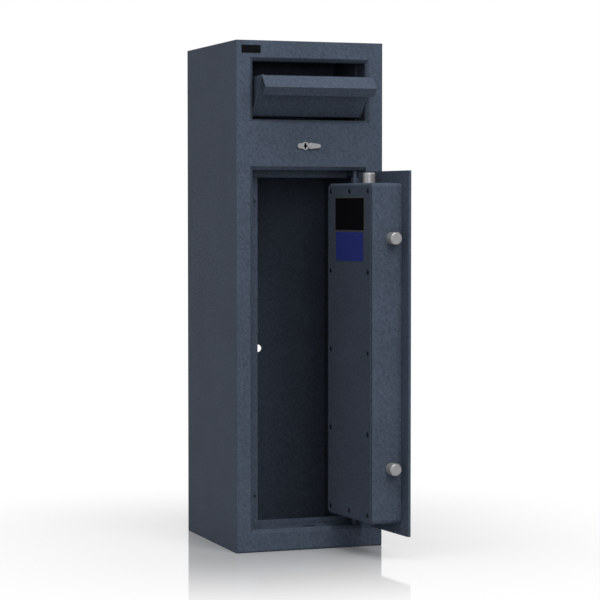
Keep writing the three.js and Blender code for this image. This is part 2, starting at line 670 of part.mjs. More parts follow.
// Hinge blocks on the plate, with the pin's hole open toward the frame
function doorHingeBlock(z, mouth) {
  const half = hingeBlock.width / 2;
  const bore = round('z', hinge.pinRadius + hinge.running, mouth, [hingeAxis.x, hingeAxis.y], facets * 2);
  return block([hingeAxis.x - half, hingeAxis.x + half],
    [plate.back + seam, plate.back + seam + hingeBlock.depth], z).subtract(bore);
}
place(doorGroup, 'hinge_block_lower', doorHingeBlock([blockLow, box.low - seam],
  [blockLow - overrun, blockLow + hingeBlock.pinReach + seam]), coat);
place(doorGroup, 'hinge_block_upper', doorHingeBlock([box.high + seam, blockHigh],
  [blockHigh - hingeBlock.pinReach - seam, blockHigh + overrun]), coat);

// Bolts: turned bars with a chamfered nose, drawn in and standing clear of the box
function boltAlong(axis, tip, tail, across) {
  const length = Math.abs(tail - tip);
  const nose = turned([
    [0, 0], [bolt.radius - bolt.chamfer, 0], [bolt.radius, bolt.chamfer],
    [bolt.radius, length], [0, length], [0, 0],
  ]);
  if (axis === 'x') return nose.rotate([0, 90, 0]).translate([tip, across[0], across[1]]);
  const turnedOver = tail < tip ? nose.rotate([180, 0, 0]) : nose;
  return turnedOver.translate([across[0], across[1], tip]);
}

const sideBolts = new THREE.Group();
doorGroup.add(sideBolts);
const boltTail = box.left + bolt.inside;
for (const [name, end] of [['side_bolt_lower', -1], ['side_bolt_upper', 1]]) {
  place(sideBolts, name, boltAlong('x', box.left - bolt.standing, boltTail,
    [boltLine, box.centre + end * bolt.spread / 2]), chrome);
}

// Bolt bar: it joins the side bolts and carries the tongue that the cam's pin moves
const camFront = plate.back + cam.back;
const tongueBack = camFront - tongue.gap;
const tongueY = [tongueBack - tongue.thickness, tongueBack];
const pinCircle = boltThrow / 2 / Math.sin(cam.swing / 2);
const pinNear = pinCircle * Math.cos(cam.swing / 2);
const slotHalfWidth = cam.pinRadius + cam.play;

function makeBoltBar() {
  const half = bolt.spread / 2 + bar.overhang;
  const spine = block([barLeft, barRight], [plate.back + bar.front, plate.back + bar.front + bar.depth],
    [box.centre - half, box.centre + half]);
  const pinX = box.middle + pinNear;
  const arm = block([barRight - seam, pinX + tongue.beyond], tongueY,
    [box.centre + tongue.low, box.centre + tongue.high]);
  const fork = block([pinX - slotHalfWidth, pinX + slotHalfWidth],
    [tongueY[0] - overrun, tongueY[1] + overrun],
    [box.centre, box.centre + pinCircle + slotHalfWidth]);
  const stop = block([lugLeft, lugLeft + lug.width], tongueY,
    [box.centre + tongue.high - seam, lockCase.low - lockBolt.travel + lug.engage]);
  return spine.add(arm).add(stop).subtract(fork);
}
place(sideBolts, 'bolt_bar', makeBoltBar(), steel);

// End bolts on their rods; the rods' slotted heads ride on the cam's other two pins
const rodFront = camFront + cam.thickness + rod.gap;
const rodY = [rodFront, rodFront + rod.thickness];

const inOrder = (a, b) => (a < b ? [a, b] : [b, a]);

function rodWithFoot(end) {
  const rise = (pinCircle - pinNear) / 2;
  const pinX = box.middle + end * (pinNear + rise);
  const headStart = box.middle + end * rod.headOffset;
  const headX = inOrder(headStart, headStart + end * rod.headWidth);
  const pinZ = box.centre - end * pinNear;
  const headZ = [pinZ - rod.headDrop, pinZ + rod.headDrop];
  const edge = end > 0 ? box.high : box.low;
  const footTop = edge - end * (bolt.inside + seam);
  const footBottom = footTop - end * rod.foot;
  const barX = [pinX - rod.width / 2, pinX + rod.width / 2];
  const barZ = inOrder(pinZ + end * (rod.headDrop - seam), footTop);
  const footZ = inOrder(footTop, footBottom);
  const half = rod.width / 2;
  const footX = [Math.min(barX[0], box.middle - half), Math.max(barX[1], box.middle + half)];
  const slot = block([pinX - rise - slotHalfWidth, pinX + rise + slotHalfWidth],
    [rodY[0] - overrun, rodY[1] + overrun], [pinZ - slotHalfWidth, pinZ + slotHalfWidth]);
  return block(headX, rodY, headZ).add(block(barX, rodY, barZ))
    .add(block(footX, [boltLine - bolt.radius / 2, rodY[1]], footZ)).subtract(slot);
}

function endBoltSet(end, boltName, rodName) {
  const set = new THREE.Group();
  const edge = end > 0 ? box.high : box.low;
  place(set, boltName, boltAlong('z', edge + end * bolt.standing, edge - end * bolt.inside,
    [box.middle, boltLine]), chrome);
  place(set, rodName, rodWithFoot(end), steel);
  doorGroup.add(set);
}
endBoltSet(1, 'top_bolt', 'top_rod');
endBoltSet(-1, 'bottom_bolt', 'bottom_rod');

// Guide rings inside the box walls, round each bolt
function guideRing(axis, span, centre) {
  return round(axis, bolt.radius + guide.wall, span, centre)
    .subtract(round(axis, bolt.radius + bolt.clear, [span[0] - overrun, span[1] + overrun], centre));
}
const sideGuide = [box.left + panSheet.thickness + seam, box.left + panSheet.thickness + seam + guide.length];
for (const [name, end] of [['side_guide_lower', -1], ['side_guide_upper', 1]]) {
  place(doorGroup, name, guideRing('x', sideGuide, [boltLine, box.centre + end * bolt.spread / 2]), steel);
}
const highest = box.high - panSheet.thickness - seam;
const lowest = box.low + panSheet.thickness + seam;
for (const [name, span] of [
  ['top_guide', [highest - guide.length, highest]], ['bottom_guide', [lowest, lowest + guide.length]],
]) {
  place(doorGroup, name, guideRing('z', span, [box.middle, boltLine]), steel);
}

// Outer handle with its rose, spindle and cam
const handleGroup = new THREE.Group();
doorGroup.add(handleGroup);
const roseY = [plate.front - seam - handle.roseThickness, plate.front - seam];

place(doorGroup, 'handle_rose', round('y', handle.rose, roseY, [box.middle, box.centre])
  .subtract(round('y', spindle.radius + spindle.clear, [roseY[0] - overrun, roseY[1] + overrun],
    [box.middle, box.centre])), chrome);

function makeHandle() {
  const hubY = [roseY[0] - seam - handle.reach, roseY[0] - seam];
  const hub = round('y', handle.hub, hubY, [box.middle, box.centre]);
  const half = lever.width / 2;
  const outline = roundedRectangle([box.middle - half, box.centre - lever.length + half],
    [box.middle + half, box.centre + half], half - seam);
  const leverY = [hubY[0] - lever.depth / 2, hubY[0] + lever.depth / 2];
  return hub.add(upright(outline, leverY, lever.round));
}
place(handleGroup, 'door_handle', makeHandle(), chrome);

place(handleGroup, 'handle_spindle',
  round('y', spindle.radius, [roseY[0], camFront - seam], [box.middle, box.centre]), steel);

function makeCam() {
  const disc = round('y', cam.radius, [camFront, camFront + cam.thickness], [box.middle, box.centre]);
  const pinAt = (angle, y) => round('y', cam.pinRadius, y,
    [box.middle + pinCircle * Math.cos(angle), box.centre + pinCircle * Math.sin(angle)], facets / 2);
  const frontPin = [tongueY[0], camFront + seam];
  const backPin = [camFront + cam.thickness - seam, rodY[1]];
  const half = cam.swing / 2;
  return disc.add(pinAt(Math.PI / 2 - half, frontPin))
    .add(pinAt(-half, backPin))
    .add(pinAt(Math.PI - half, backPin));
}
place(handleGroup, 'bolt_cam', makeCam(), steel);

// Door lock: its bolt drops beside the bar's lug and keeps the bolts thrown
const lockFront = plate.back + seam;
const doorBoltX = [lockCase.left + doorLock.side, lockCase.left + doorLock.side + lockBolt.width];
const doorBoltY = [plate.back + lockBolt.front, plate.back + lockBolt.front + lockBolt.depth];

function makeDoorLockCase() {
  const grown = (span) => [span[0] - lockBolt.play, span[1] + lockBolt.play];
  const channel = block(grown(doorBoltX), grown(doorBoltY),
    [lockCase.low - overrun, lockCase.low + lockBolt.length + seam]);
  const keyBore = round('y', keyTube.radius - keyTube.wall, [lockFront - overrun, doorBoltY[1]],
    [doorKey.x, doorKey.z]);
  const caseSolid = block([lockCase.left, lockCase.right], [lockFront, lockFront + doorLock.depth],
    [lockCase.low, lockCase.high]);
  return caseSolid.subtract(channel).subtract(keyBore);
}
place(doorGroup, 'door_lock_case', makeDoorLockCase(), steel);

const doorLockBolt = new THREE.Group();
doorGroup.add(doorLockBolt);
place(doorLockBolt, 'door_lock_bolt', block(doorBoltX, doorBoltY,
  [lockCase.low, lockCase.low + lockBolt.length]), steel);

place(doorGroup, 'door_key_tube', keyGuide(doorKey.x, doorKey.z, [plate.front, plate.back]), chrome);
place(doorGroup, 'door_escutcheon', escutcheonPlate(doorKey.x, doorKey.z, plate.front - seam), chrome);
coverGroup(doorGroup, 'door_key_cover', doorKey.x, doorKey.z, plate.front - seam);

export default safe;
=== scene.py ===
"""Looks of a drop safe with a tilting deposit drawer, laid out as an add-on.

Lengths are metres. The film and the screws on the door are worked out on the shut door, and are
then swung about its hinge.
"""

import json
import math

import bmesh
import bpy
from bpy.props import FloatProperty, FloatVectorProperty, IntProperty, PointerProperty
from mathutils import Matrix, Vector

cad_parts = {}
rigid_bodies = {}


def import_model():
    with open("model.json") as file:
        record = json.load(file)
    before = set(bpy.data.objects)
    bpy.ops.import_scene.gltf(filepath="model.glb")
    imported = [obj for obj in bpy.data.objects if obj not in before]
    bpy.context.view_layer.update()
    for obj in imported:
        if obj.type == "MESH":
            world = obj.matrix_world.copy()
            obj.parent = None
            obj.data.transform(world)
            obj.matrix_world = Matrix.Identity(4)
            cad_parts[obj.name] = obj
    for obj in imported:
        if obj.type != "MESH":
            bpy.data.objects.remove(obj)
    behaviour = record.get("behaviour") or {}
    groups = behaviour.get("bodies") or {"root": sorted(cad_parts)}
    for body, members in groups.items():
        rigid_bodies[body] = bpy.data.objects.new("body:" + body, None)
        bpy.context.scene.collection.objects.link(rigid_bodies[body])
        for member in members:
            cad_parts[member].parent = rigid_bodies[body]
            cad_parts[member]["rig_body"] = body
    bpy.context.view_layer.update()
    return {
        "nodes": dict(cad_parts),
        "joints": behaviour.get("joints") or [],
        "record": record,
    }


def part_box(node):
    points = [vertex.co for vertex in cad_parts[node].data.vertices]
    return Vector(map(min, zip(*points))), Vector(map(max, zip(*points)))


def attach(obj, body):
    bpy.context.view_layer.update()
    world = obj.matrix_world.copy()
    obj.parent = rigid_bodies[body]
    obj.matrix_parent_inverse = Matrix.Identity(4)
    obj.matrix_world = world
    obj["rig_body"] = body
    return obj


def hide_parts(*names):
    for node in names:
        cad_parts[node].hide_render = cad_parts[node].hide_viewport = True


bl_info = {
    "name": "Drop Safe",
    "version": (1, 0, 0),
    "blender": (4, 5, 0),
    "location": "View3D > Sidebar > Drop Safe",
    "description": "Finishes the sheets, bolt work, locks and screws of a drop safe",
    "category": "Object",
}

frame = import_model()

NODE_SLOTS = {entry["node"]: entry["material_slot"] for entry in frame["record"]["subparts"]}
JOINTS = {joint["name"]: joint for joint in frame["joints"]}

# DOOR_PLACE carries a place on the shut door to the same place on the open one
HINGE_POINT = Vector(JOINTS["door_hinge"]["pos_m"])
DOOR_OPEN = -math.radians(JOINTS["door_hinge"]["range_deg"][0])
DOOR_PLACE = (
    Matrix.Translation(HINGE_POINT) @ Matrix.Rotation(DOOR_OPEN, 4, "Z") @ Matrix.Translation(-HINGE_POINT)
)

COAT_SHEETS = ("outer_shell", "top_panel", "rear_panel", "door_frame", "rebate_ring")
DEPOSIT_SHEETS = ("deposit_frame", "chute_wall_left", "chute_wall_right", "baffle_plate", "lock_space_cover")
DRAWER_SHEETS = ("drawer_panel", "drawer_cheek_left", "drawer_cheek_right", "drawer_tray")
DOOR_SHEETS = ("door_plate", "door_box")
HINGE_PARTS = ("hinge_block_lower", "hinge_block_upper", "hinge_pin_lower", "hinge_pin_upper")
KEY_PLATES = ("deposit_escutcheon", "deposit_key_cover", "door_escutcheon", "door_key_cover")
KEY_TUBES = ("deposit_key_tube", "door_key_tube")
INNER_WORKS = (
    "deposit_lock_case", "deposit_lock_bolt", "door_lock_case", "door_lock_bolt", "bolt_bar", "top_rod",
    "bottom_rod", "bolt_cam", "handle_spindle", "side_guide_lower", "side_guide_upper", "top_guide",
    "bottom_guide", "drawer_catch", "drawer_pin_left", "drawer_pin_right",
)
SIDE_BOLTS = ("side_bolt_lower", "side_bolt_upper")

# The sensor is in millimetres
SENSOR_WIDTH = 36
FARTHEST_SEEN = 60
FLOOR_REACH = 12

# Each lamp: its name, the setting that holds its power, its width, its place and what it points at
LAMPS = (
    ("Key lamp", "key_power", 2.2, (0.8, -3.9, 3.3), (0, 0, 0.6)),
    ("Fill lamp", "fill_power", 1.4, (-1.5, -5.2, 1.5), (0, 0, 0.5)),
    ("Side lamp", "side_power", 2.0, (-4.2, -1.6, 1.8), (0, 0, 0.5)),
    ("Top lamp", "top_power", 2.2, (-0.6, -1.2, 3.6), (0, 0, 0.6)),
)

# The part of a noise pattern's range that most of it lies in
NOISE_SPAN = (0.3, 0.7)


def colour_property(name, description, default):
    return FloatVectorProperty(
        name=name, description=description, default=default, size=3, min=0, max=1, subtype="COLOR"
    )


def length_property(name, description, default):
    return FloatProperty(
        name=name, description=description, default=default, min=0, unit="LENGTH", precision=5
    )


def share_property(name, description, default):
    return FloatProperty(
        name=name, description=description, default=default, min=0, max=1, subtype="FACTOR"
    )


def power_property(name, description, default):
    return FloatProperty(name=name, description=description, default=default, min=0, unit="POWER")


class SafeCoat(bpy.types.PropertyGroup):
    """The powder coat on every sheet"""

    outer: colour_property(
        "Outer colour", "Coat on the body, the door and the drawer", (0.0525, 0.0665, 0.0926)
    )
    inner: colour_property(
        "Inner colour", "Coat on the deposit chamber, the base and the inner cover", (0.043, 0.053, 0.073)
    )
    roughness: share_property("Roughness", "How dull the coat is", 0.5)
    gloss: share_property("Gloss", "How strongly the coat mirrors", 0.015)
    grain: length_property("Grain", "Width of one wrinkle of the coat", 0.0028)
    grain_depth: length_property("Grain depth", "Height of the wrinkles", 0.0005)
    fold: length_property("Edge rounding", "Radius left on the sheets' edges", 0.0006)


class SafeMetal(bpy.types.PropertyGroup):
    """The bare metals"""

    chrome: colour_property("Polished colour", "Bolts, key plates and handle", (0.25, 0.252, 0.257))
    satin: share_property("Satin share", "Share of the polished metal that scatters light", 0.7)
    steel: colour_property("Plated colour", "Zinc plated works", (0.33, 0.34, 0.36))
    screw: colour_property("Screw colour", "Blackened screws", (0.018, 0.02, 0.024))
    chamfer: length_property("Bolt chamfer", "Chamfer round a bolt's nose", 0.0025)
    soften: length_property("Bolt softening", "Rounding of a bolt's corners", 0.0004)
    bolt_sides: IntProperty(name="Bolt sides", description="Sides of a turned bolt", default=96, min=24)


class SafeScrews(bpy.types.PropertyGroup):
    """Screws of the inner cover, the rebate and the key plates"""

    head: length_property("Head radius", "Radius of a cover screw's head", 0.0044)
    height: length_property("Head height", "Height of a cover screw's head", 0.0016)
    socket: length_property("Socket radius", "Radius of the hexagon socket", 0.0021)
    lock_inset: length_property("Lock side inset", "From the cover's lock edge to its screws", 0.0157)
    hinge_inset: length_property("Hinge side inset", "From the cover's hinge edge to its screws", 0.0119)
    end_inset: length_property("End inset", "From the cover's ends to its screws", 0.013)
    rows: IntProperty(name="Rows", description="Screws along each upright edge", default=5, min=2)
    rebate_head: length_property("Rebate head", "Radius of the screws on the rebate", 0.0028)
    rebate_left: length_property("Rebate screw side", "From the body's side to the rebate's screws", 0.062)
    rebate_end: length_property("Rebate screw end", "From the rebate's ends to its screws", 0.0735)
    plate_head: length_property("Key plate head", "Radius of the screw in a key plate", 0.0018)
    plate_lobe: length_property("Key plate lobe", "From a key plate's side to its screw", 0.006)
    plate_seat: length_property("Key plate seat", "Depth of the screw's seat in a key plate", 0.0015)


class SafePlates(bpy.types.PropertyGroup):
    """The bare badge, data plate and label"""

    black: colour_property("Plate colour", "Badge and data plate", (0.0035, 0.0036, 0.0042))
    blue: colour_property("Label colour", "Label below the data plate", (0.019, 0.028, 0.14))
    rim: colour_property("Margin colour", "Film round the data plate", (0.07, 0.068, 0.064))
    margin: length_property("Margin", "Film showing round the data plate", 0.0016)
    film: length_property("Film", "Thickness of that film", 0.00025)
    edge: length_property("Plate edge", "Rounding of the plates' edges", 0.0003)
    corner: length_property("Film corner", "Radius of the film's corners", 0.002)


class SafeStage(bpy.types.PropertyGroup):
    """Floor, lamps and camera"""

    floor: colour_property("Floor colour", "Pale studio floor", (0.8, 0.8, 0.805))
    floor_roughness: share_property("Floor roughness", "Blur of the reflection in the floor", 0.06)
    floor_polish: share_property("Floor polish", "Share of the floor that mirrors fully", 0.34)
    floor_white: share_property("Floor white", "Plain white in the floor beside the body", 0.04)
    floor_fade: length_property("Floor fade", "From the body to where the floor is plain white", 0.85)
    bounce: share_property("Floor bounce", "Share of the floor's light that falls back on the body", 0.55)
    ambient: FloatProperty(name="Ambient", description="Strength of the sky light", default=0.38, min=0)
    key_power: power_property("Key lamp", "Power of the large front lamp", 100)
    top_power: power_property("Top lamp", "Power of the lamp above", 66)
    side_power: power_property("Side lamp", "Power of the lamp on the left", 14)
    fill_power: power_property("Fill lamp", "Power of the lamp beside the camera", 42)
    lens: FloatProperty(
        name="Lens", description="Focal length in millimetres", default=129.1, min=1, unit="CAMERA"
    )
    eye: FloatVectorProperty(
        name="Eye", description="Where the camera stands", default=(-1.6736, -4.7519, 0.7770),
        subtype="XYZ", unit="LENGTH",
    )
    turn: FloatProperty(
        name="Turn", description="Heading right of the depth axis", default=0.34655, subtype="ANGLE"
    )
    tilt: FloatProperty(
        name="Tilt", description="How far the view dips", default=0.04299, subtype="ANGLE"
    )


# Meshes


def body_of(node):
    return frame["nodes"][node]["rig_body"]


def new_piece(name, mesh, material, body, slot, *replaced):
    """A finished object at the origin that rides on a body"""
    piece = bpy.data.objects.new(name, mesh)
    bpy.context.scene.collection.objects.link(piece)
    mesh.materials.clear()
    mesh.materials.append(material)
    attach(piece, body)
    if replaced:
        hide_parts(*replaced)


def baked_mesh(builder, name):
    """The mesh of an object with its modifiers applied"""
    graph = bpy.context.evaluated_depsgraph_get()
    mesh = bpy.data.meshes.new_from_object(
        builder.evaluated_get(graph), preserve_all_data_layers=True, depsgraph=graph
    )
    mesh.name = name
    bpy.data.objects.remove(builder)
    return mesh


def merged_copy(node):
    """A solid's surface with its doubles merged and its flat faces joined"""
    merge_distance = 1e-5
    flat_angle = math.radians(0.4)
    mesh = frame["nodes"][node].data.copy()
    work = bmesh.new()
    work.from_mesh(mesh)
    bmesh.ops.remove_doubles(work, verts=work.verts, dist=merge_distance)
    bmesh.ops.dissolve_limit(work, angle_limit=flat_angle, verts=work.verts, edges=work.edges)
    work.to_mesh(mesh)
    work.free()
    return mesh


def mark_edges(mesh, sharp_angle, shortest):
    """Weights the sharp edges that are long enough to be rounded and keeps the others sharp"""
    work = bmesh.new()
    work.from_mesh(mesh)
    weight = work.edges.layers.float.new("bevel_weight_edge")
    for edge in work.edges:
        if edge.calc_face_angle(0) > sharp_angle:
            long_enough = edge.calc_length() > shortest
            edge[weight] = 1 if long_enough else 0
            edge.smooth = long_enough
    for face in work.faces:
        face.smooth = True
    work.to_mesh(mesh)
    work.free()


def rounded_copy(node, radius, steps=2):
    """A solid's surface with its sharp edges rounded"""
    sharp_angle = math.radians(32)
    shortest = 0.0004
    mesh = merged_copy(node)
    mark_edges(mesh, sharp_angle, shortest)
    builder = bpy.data.objects.new(node + "_work", mesh)
    bpy.context.scene.collection.objects.link(builder)
    rounding = builder.modifiers.new("Rounding", "BEVEL")
    rounding.width = radius
    rounding.segments = steps
    rounding.limit_method = "WEIGHT"
    rounding.use_clamp_overlap = False
    finished = baked_mesh(builder, node + "_rounded")
    shade_by_area(finished)
    return finished


def shade_by_area(mesh):
    """Keeps the large faces flat and lets the narrow ones of a rounded edge blend between them"""
    widest_turn = math.cos(math.radians(50))
    smallest = 1e-12
    normals = [face.normal.copy() for face in mesh.polygons]
    areas = [max(face.area, smallest) for face in mesh.polygons]
    around = [[] for _ in mesh.vertices]
    for face in mesh.polygons:
        for corner in face.vertices:
            around[corner].append(face.index)
    corner_normals = []
    for face in mesh.polygons:
        own = normals[face.index]
        for corner in face.vertices:
            blend = Vector()
            for other in around[corner]:
                if normals[other].dot(own) > widest_turn:
                    blend += normals[other] * (areas[other] / areas[face.index]) ** 2
            corner_normals.append(blend.normalized())
    mesh.normals_split_custom_set(corner_normals)


def finish_copies(nodes, material, radius, steps=2):
    """Rounded and finished copies that stand for their nodes"""
    for node in nodes:
        mesh = rounded_copy(node, radius, steps)
        new_piece(node + "_finished", mesh, material, body_of(node), NODE_SLOTS[node], node)


def lathe(profile, sides, place):
    """A closed turned shape: pairs of radius and height about Z, then set in place"""
    sharp_angle = math.radians(24)
    work = bmesh.new()
    rings = []
    for radius, height in profile:
        if radius == 0:
            rings.append([work.verts.new((0, 0, height))])
            continue
        angles = [2 * math.pi * side / sides for side in range(sides)]
        rings.append([work.verts.new((radius * math.cos(a), radius * math.sin(a), height)) for a in angles])
    for low, high in zip(rings, rings[1:]):
        for side in range(sides):
            following = (side + 1) % sides
            if len(low) == 1:
                work.faces.new((low[0], high[following], high[side]))
            elif len(high) == 1:
                work.faces.new((low[side], low[following], high[0]))
            else:
                work.faces.new((low[side], low[following], high[following], high[side]))
    bmesh.ops.recalc_face_normals(work, faces=work.faces)
    mesh = bpy.data.meshes.new("turned")
    work.to_mesh(mesh)
    work.free()
    mesh.transform(place)
    mesh.shade_smooth()
    mesh.set_sharp_from_angle(angle=sharp_angle)
    return mesh


def rounded_film(name, low, high, thickness, corner, steps=6):
    """A thin upright sheet with round corners, from its lowest Y towards the rear"""
    work = bmesh.new()
    ring = []
    for turn, (x, z) in enumerate(((high.x, high.z), (low.x, high.z), (low.x, low.z), (high.x, low.z))):
        centre_x = x - math.copysign(corner, x - (low.x + high.x) / 2)
        centre_z = z - math.copysign(corner, z - (low.z + high.z) / 2)
        for step in range(steps + 1):
            angle = math.pi / 2 * (turn + step / steps)
            place = (centre_x + corner * math.cos(angle), low.y, centre_z + corner * math.sin(angle))
            ring.append(work.verts.new(place))
    face = work.faces.new(ring)
    made = bmesh.ops.extrude_face_region(work, geom=[face])
    raised = [item for item in made["geom"] if isinstance(item, bmesh.types.BMVert)]
    bmesh.ops.translate(work, verts=raised, vec=(0, thickness, 0))
    bmesh.ops.recalc_face_normals(work, faces=work.faces)
    mesh = bpy.data.meshes.new(name)
    work.to_mesh(mesh)
    work.free()
    return mesh


def along(direction, point):
    """The place that puts local +Z along a direction, starting from a point"""
    return Matrix.Translation(point) @ Vector(direction).to_track_quat("Z", "Y").to_matrix().to_4x4()


def shut_box(node):
    """A node's lowest and highest corner as if the door were shut"""
    back = DOOR_PLACE.inverted()
    points = [back @ vertex.co for vertex in frame["nodes"][node].data.vertices]
    low = Vector([min(point[axis] for point in points) for axis in range(3)])
    high = Vector([max(point[axis] for point in points) for axis in range(3)])
    return low, high


# Materials


def add_node(tree, kind, inputs=None, **settings):
    node = tree.nodes.new(kind)
    for name, value in settings.items():
        setattr(node, name, value)
    for name, value in (inputs or {}).items():
        node.inputs[name].default_value = value
    return node


def join(tree, source, output, target, socket):
    tree.links.new(source.outputs[output], target.inputs[socket])


def ranged(tree, source, output, given, wanted):
    """A value carried over from one range to another"""
    inputs = {"From Min": given[0], "From Max": given[1], "To Min": wanted[0], "To Max": wanted[1]}
    node = add_node(tree, "ShaderNodeMapRange", inputs)
    join(tree, source, output, node, "Value")
    return node


def finish_group(name, pattern, depth):
    """A shader group for a finish, with its input node and its output node"""
    group = bpy.data.node_groups.new(name, "ShaderNodeTree")
    for direction, sockets in (
        ("INPUT", (("Colour", "Color"), (pattern, "Float"), (depth, "Float"), ("Roughness", "Float"))),
        ("OUTPUT", (("Colour", "Color"), ("Roughness", "Float"), ("Normal", "Vector"))),
    ):
        for socket, kind in sockets:
            group.interface.new_socket(socket, in_out=direction, socket_type="NodeSocket" + kind)
    return group, group.nodes.new("NodeGroupInput"), group.nodes.new("NodeGroupOutput")


def put_out(group, given, made, tone, dulling, bump):
    """Tones the given colour, dulls the given roughness and puts both out with the bumps

    The tone and the dulling are nodes that give their value on their first output.
    """
    coloured = add_node(group, "ShaderNodeVectorMath", operation="SCALE")
    join(group, given, "Colour", coloured, 0)
    join(group, tone, 0, coloured, "Scale")
    dulled = add_node(group, "ShaderNodeMath", operation="ADD")
    join(group, given, "Roughness", dulled, 0)
    join(group, dulling, 0, dulled, 1)
    join(group, coloured, "Vector", made, "Colour")
    join(group, dulled, "Value", made, "Roughness")
    join(group, bump, "Normal", made, "Normal")


def grained_coat_group():
    """Wrinkled powder coat: leaning leathery bumps, a mottled tone, painted shade in the wrinkles' low parts
    with painted highlight on their tops, and uneven gloss
    """
    streak_turn = (0, math.radians(48), math.radians(23))
    streak_length = 3.2
    crease_share = -0.55
    mottle_tones = (0.94, 1.07)
    # Span and tones of the painted shade and highlight that follow the wrinkles' height
    wrinkle_shade_span = (0.25, 0.75)
    wrinkle_shade_tones = (0.66, 1.34)
    dulling_span = (-0.05, 0.06)
    group, given, made = finish_group("Grained coat", "Grains per metre", "Grain depth")
    place = add_node(group, "ShaderNodeTexCoord")
    lean = add_node(
        group, "ShaderNodeMapping", {"Rotation": streak_turn, "Scale": (streak_length, 1, 1)},
        vector_type="TEXTURE",
    )
    join(group, place, "Object", lean, "Vector")
    wrinkle = add_node(group, "ShaderNodeTexNoise", {"Detail": 2.5, "Roughness": 0.5, "Distortion": 0.9})
    join(group, lean, "Vector", wrinkle, "Vector")
    join(group, given, "Grains per metre", wrinkle, "Scale")
    crease = add_node(group, "ShaderNodeTexVoronoi", {"Smoothness": 0.6}, feature="SMOOTH_F1")
    join(group, lean, "Vector", crease, "Vector")
    join(group, given, "Grains per metre", crease, "Scale")
    height = add_node(group, "ShaderNodeMath", {1: crease_share}, operation="MULTIPLY_ADD")
    join(group, crease, "Distance", height, 0)
    join(group, wrinkle, "Fac", height, 2)
    bump = add_node(group, "ShaderNodeBump", {"Strength": 1})
    join(group, height, "Value", bump, "Height")
    join(group, given, "Grain depth", bump, "Distance")
    mottle = add_node(group, "ShaderNodeTexNoise", {"Scale": 9, "Detail": 3, "Roughness": 0.55})
    join(group, place, "Object", mottle, "Vector")
    mottle_tone = ranged(group, mottle, "Fac", NOISE_SPAN, mottle_tones)
    # Painted shade and highlight: the colour darkens where the wrinkles sink and lightens where they rise
    wrinkle_shade_tone = ranged(group, wrinkle, "Fac", wrinkle_shade_span, wrinkle_shade_tones)
    tone = add_node(group, "ShaderNodeMath", operation="MULTIPLY")
    join(group, mottle_tone, "Result", tone, 0)
    join(group, wrinkle_shade_tone, "Result", tone, 1)
    dulling = ranged(group, wrinkle, "Fac", NOISE_SPAN, dulling_span)
    put_out(group, given, made, tone, dulling, bump)
    return group


def worked_metal_group():
    """Machined or plated metal: fine tool marks, faint stains and uneven gloss"""
    mark_spacing = (1, 0.12, 1)
    stain_tones = (0.9, 1.06)
    dulling_span = (-0.05, 0.07)
    group, given, made = finish_group("Worked metal", "Marks per metre", "Mark depth")
    place = add_node(group, "ShaderNodeTexCoord")
    stretch = add_node(group, "ShaderNodeMapping", {"Scale": mark_spacing})
    join(group, place, "Object", stretch, "Vector")
    marks = add_node(group, "ShaderNodeTexNoise", {"Detail": 4, "Roughness": 0.6})
    join(group, stretch, "Vector", marks, "Vector")
    join(group, given, "Marks per metre", marks, "Scale")
    bump = add_node(group, "ShaderNodeBump", {"Strength": 1})
    join(group, marks, "Fac", bump, "Height")
    join(group, given, "Mark depth", bump, "Distance")
    stains = add_node(group, "ShaderNodeTexNoise", {"Scale": 70, "Detail": 3, "Roughness": 0.6})
    join(group, place, "Object", stains, "Vector")
    tone = ranged(group, stains, "Fac", NOISE_SPAN, stain_tones)
    dulling = ranged(group, marks, "Fac", NOISE_SPAN, dulling_span)
    put_out(group, given, made, tone, dulling, bump)
    return group


def group_named(name, maker):
    return bpy.data.node_groups.get(name) or maker()


def finish_material(name, group, values, metallic=0, specular=0.5):
    """A material whose colour, roughness and normal come from a shared group"""
    if name in bpy.data.materials:
        return bpy.data.materials[name]
    material = bpy.data.materials.new(name)
    material.use_nodes = True
    tree = material.node_tree
    surface = tree.nodes["Principled BSDF"]
    surface.inputs["Metallic"].default_value = metallic
    surface.inputs["Specular IOR Level"].default_value = specular
    effect = add_node(tree, "ShaderNodeGroup", node_tree=group)
    for socket, value in values.items():
        effect.inputs[socket].default_value = value
    join(tree, effect, "Colour", surface, "Base Color")
    join(tree, effect, "Roughness", surface, "Roughness")
    join(tree, effect, "Normal", surface, "Normal")
    return material


def coat_material(name, colour):
    coat = bpy.context.scene.safe_coat
    values = {
        "Colour": (*colour, 1),
        "Grains per metre": 1 / coat.grain,
        "Grain depth": coat.grain_depth,
        "Roughness": coat.roughness,
    }
    group = group_named("Grained coat", grained_coat_group)
    return finish_material(name, group, values, specular=coat.gloss)


def outer_coat():
    return coat_material("Outer coat", bpy.context.scene.safe_coat.outer)


def inner_coat():
    return coat_material("Inner coat", bpy.context.scene.safe_coat.inner)


def metal_material(name, colour, roughness, marks, depth, metallic=1):
    values = {"Colour": (*colour, 1), "Marks per metre": marks, "Mark depth": depth, "Roughness": roughness}
    return finish_material(name, group_named("Worked metal", worked_metal_group), values, metallic=metallic)


def polished_metal():
    metal = bpy.context.scene.safe_metal
    return metal_material(
        "Polished metal", metal.chrome, roughness=0.3, marks=700, depth=0.0000015, metallic=1 - metal.satin
    )


def plated_steel():
    steel = bpy.context.scene.safe_metal.steel
    return metal_material("Plated steel", steel, roughness=0.38, marks=1200, depth=0.00001)


def black_screws():
    screw = bpy.context.scene.safe_metal.screw
    return metal_material("Blackened screw", screw, roughness=0.42, marks=1600, depth=0.00001)


def plate_material(name, colour, roughness):
    values = {
        "Colour": (*colour, 1),
        "Grains per metre": 900,
        "Grain depth": 0.00001,
        "Roughness": roughness,
    }
    return finish_material(name, group_named("Grained coat", grained_coat_group), values, specular=0.02)


# Operators


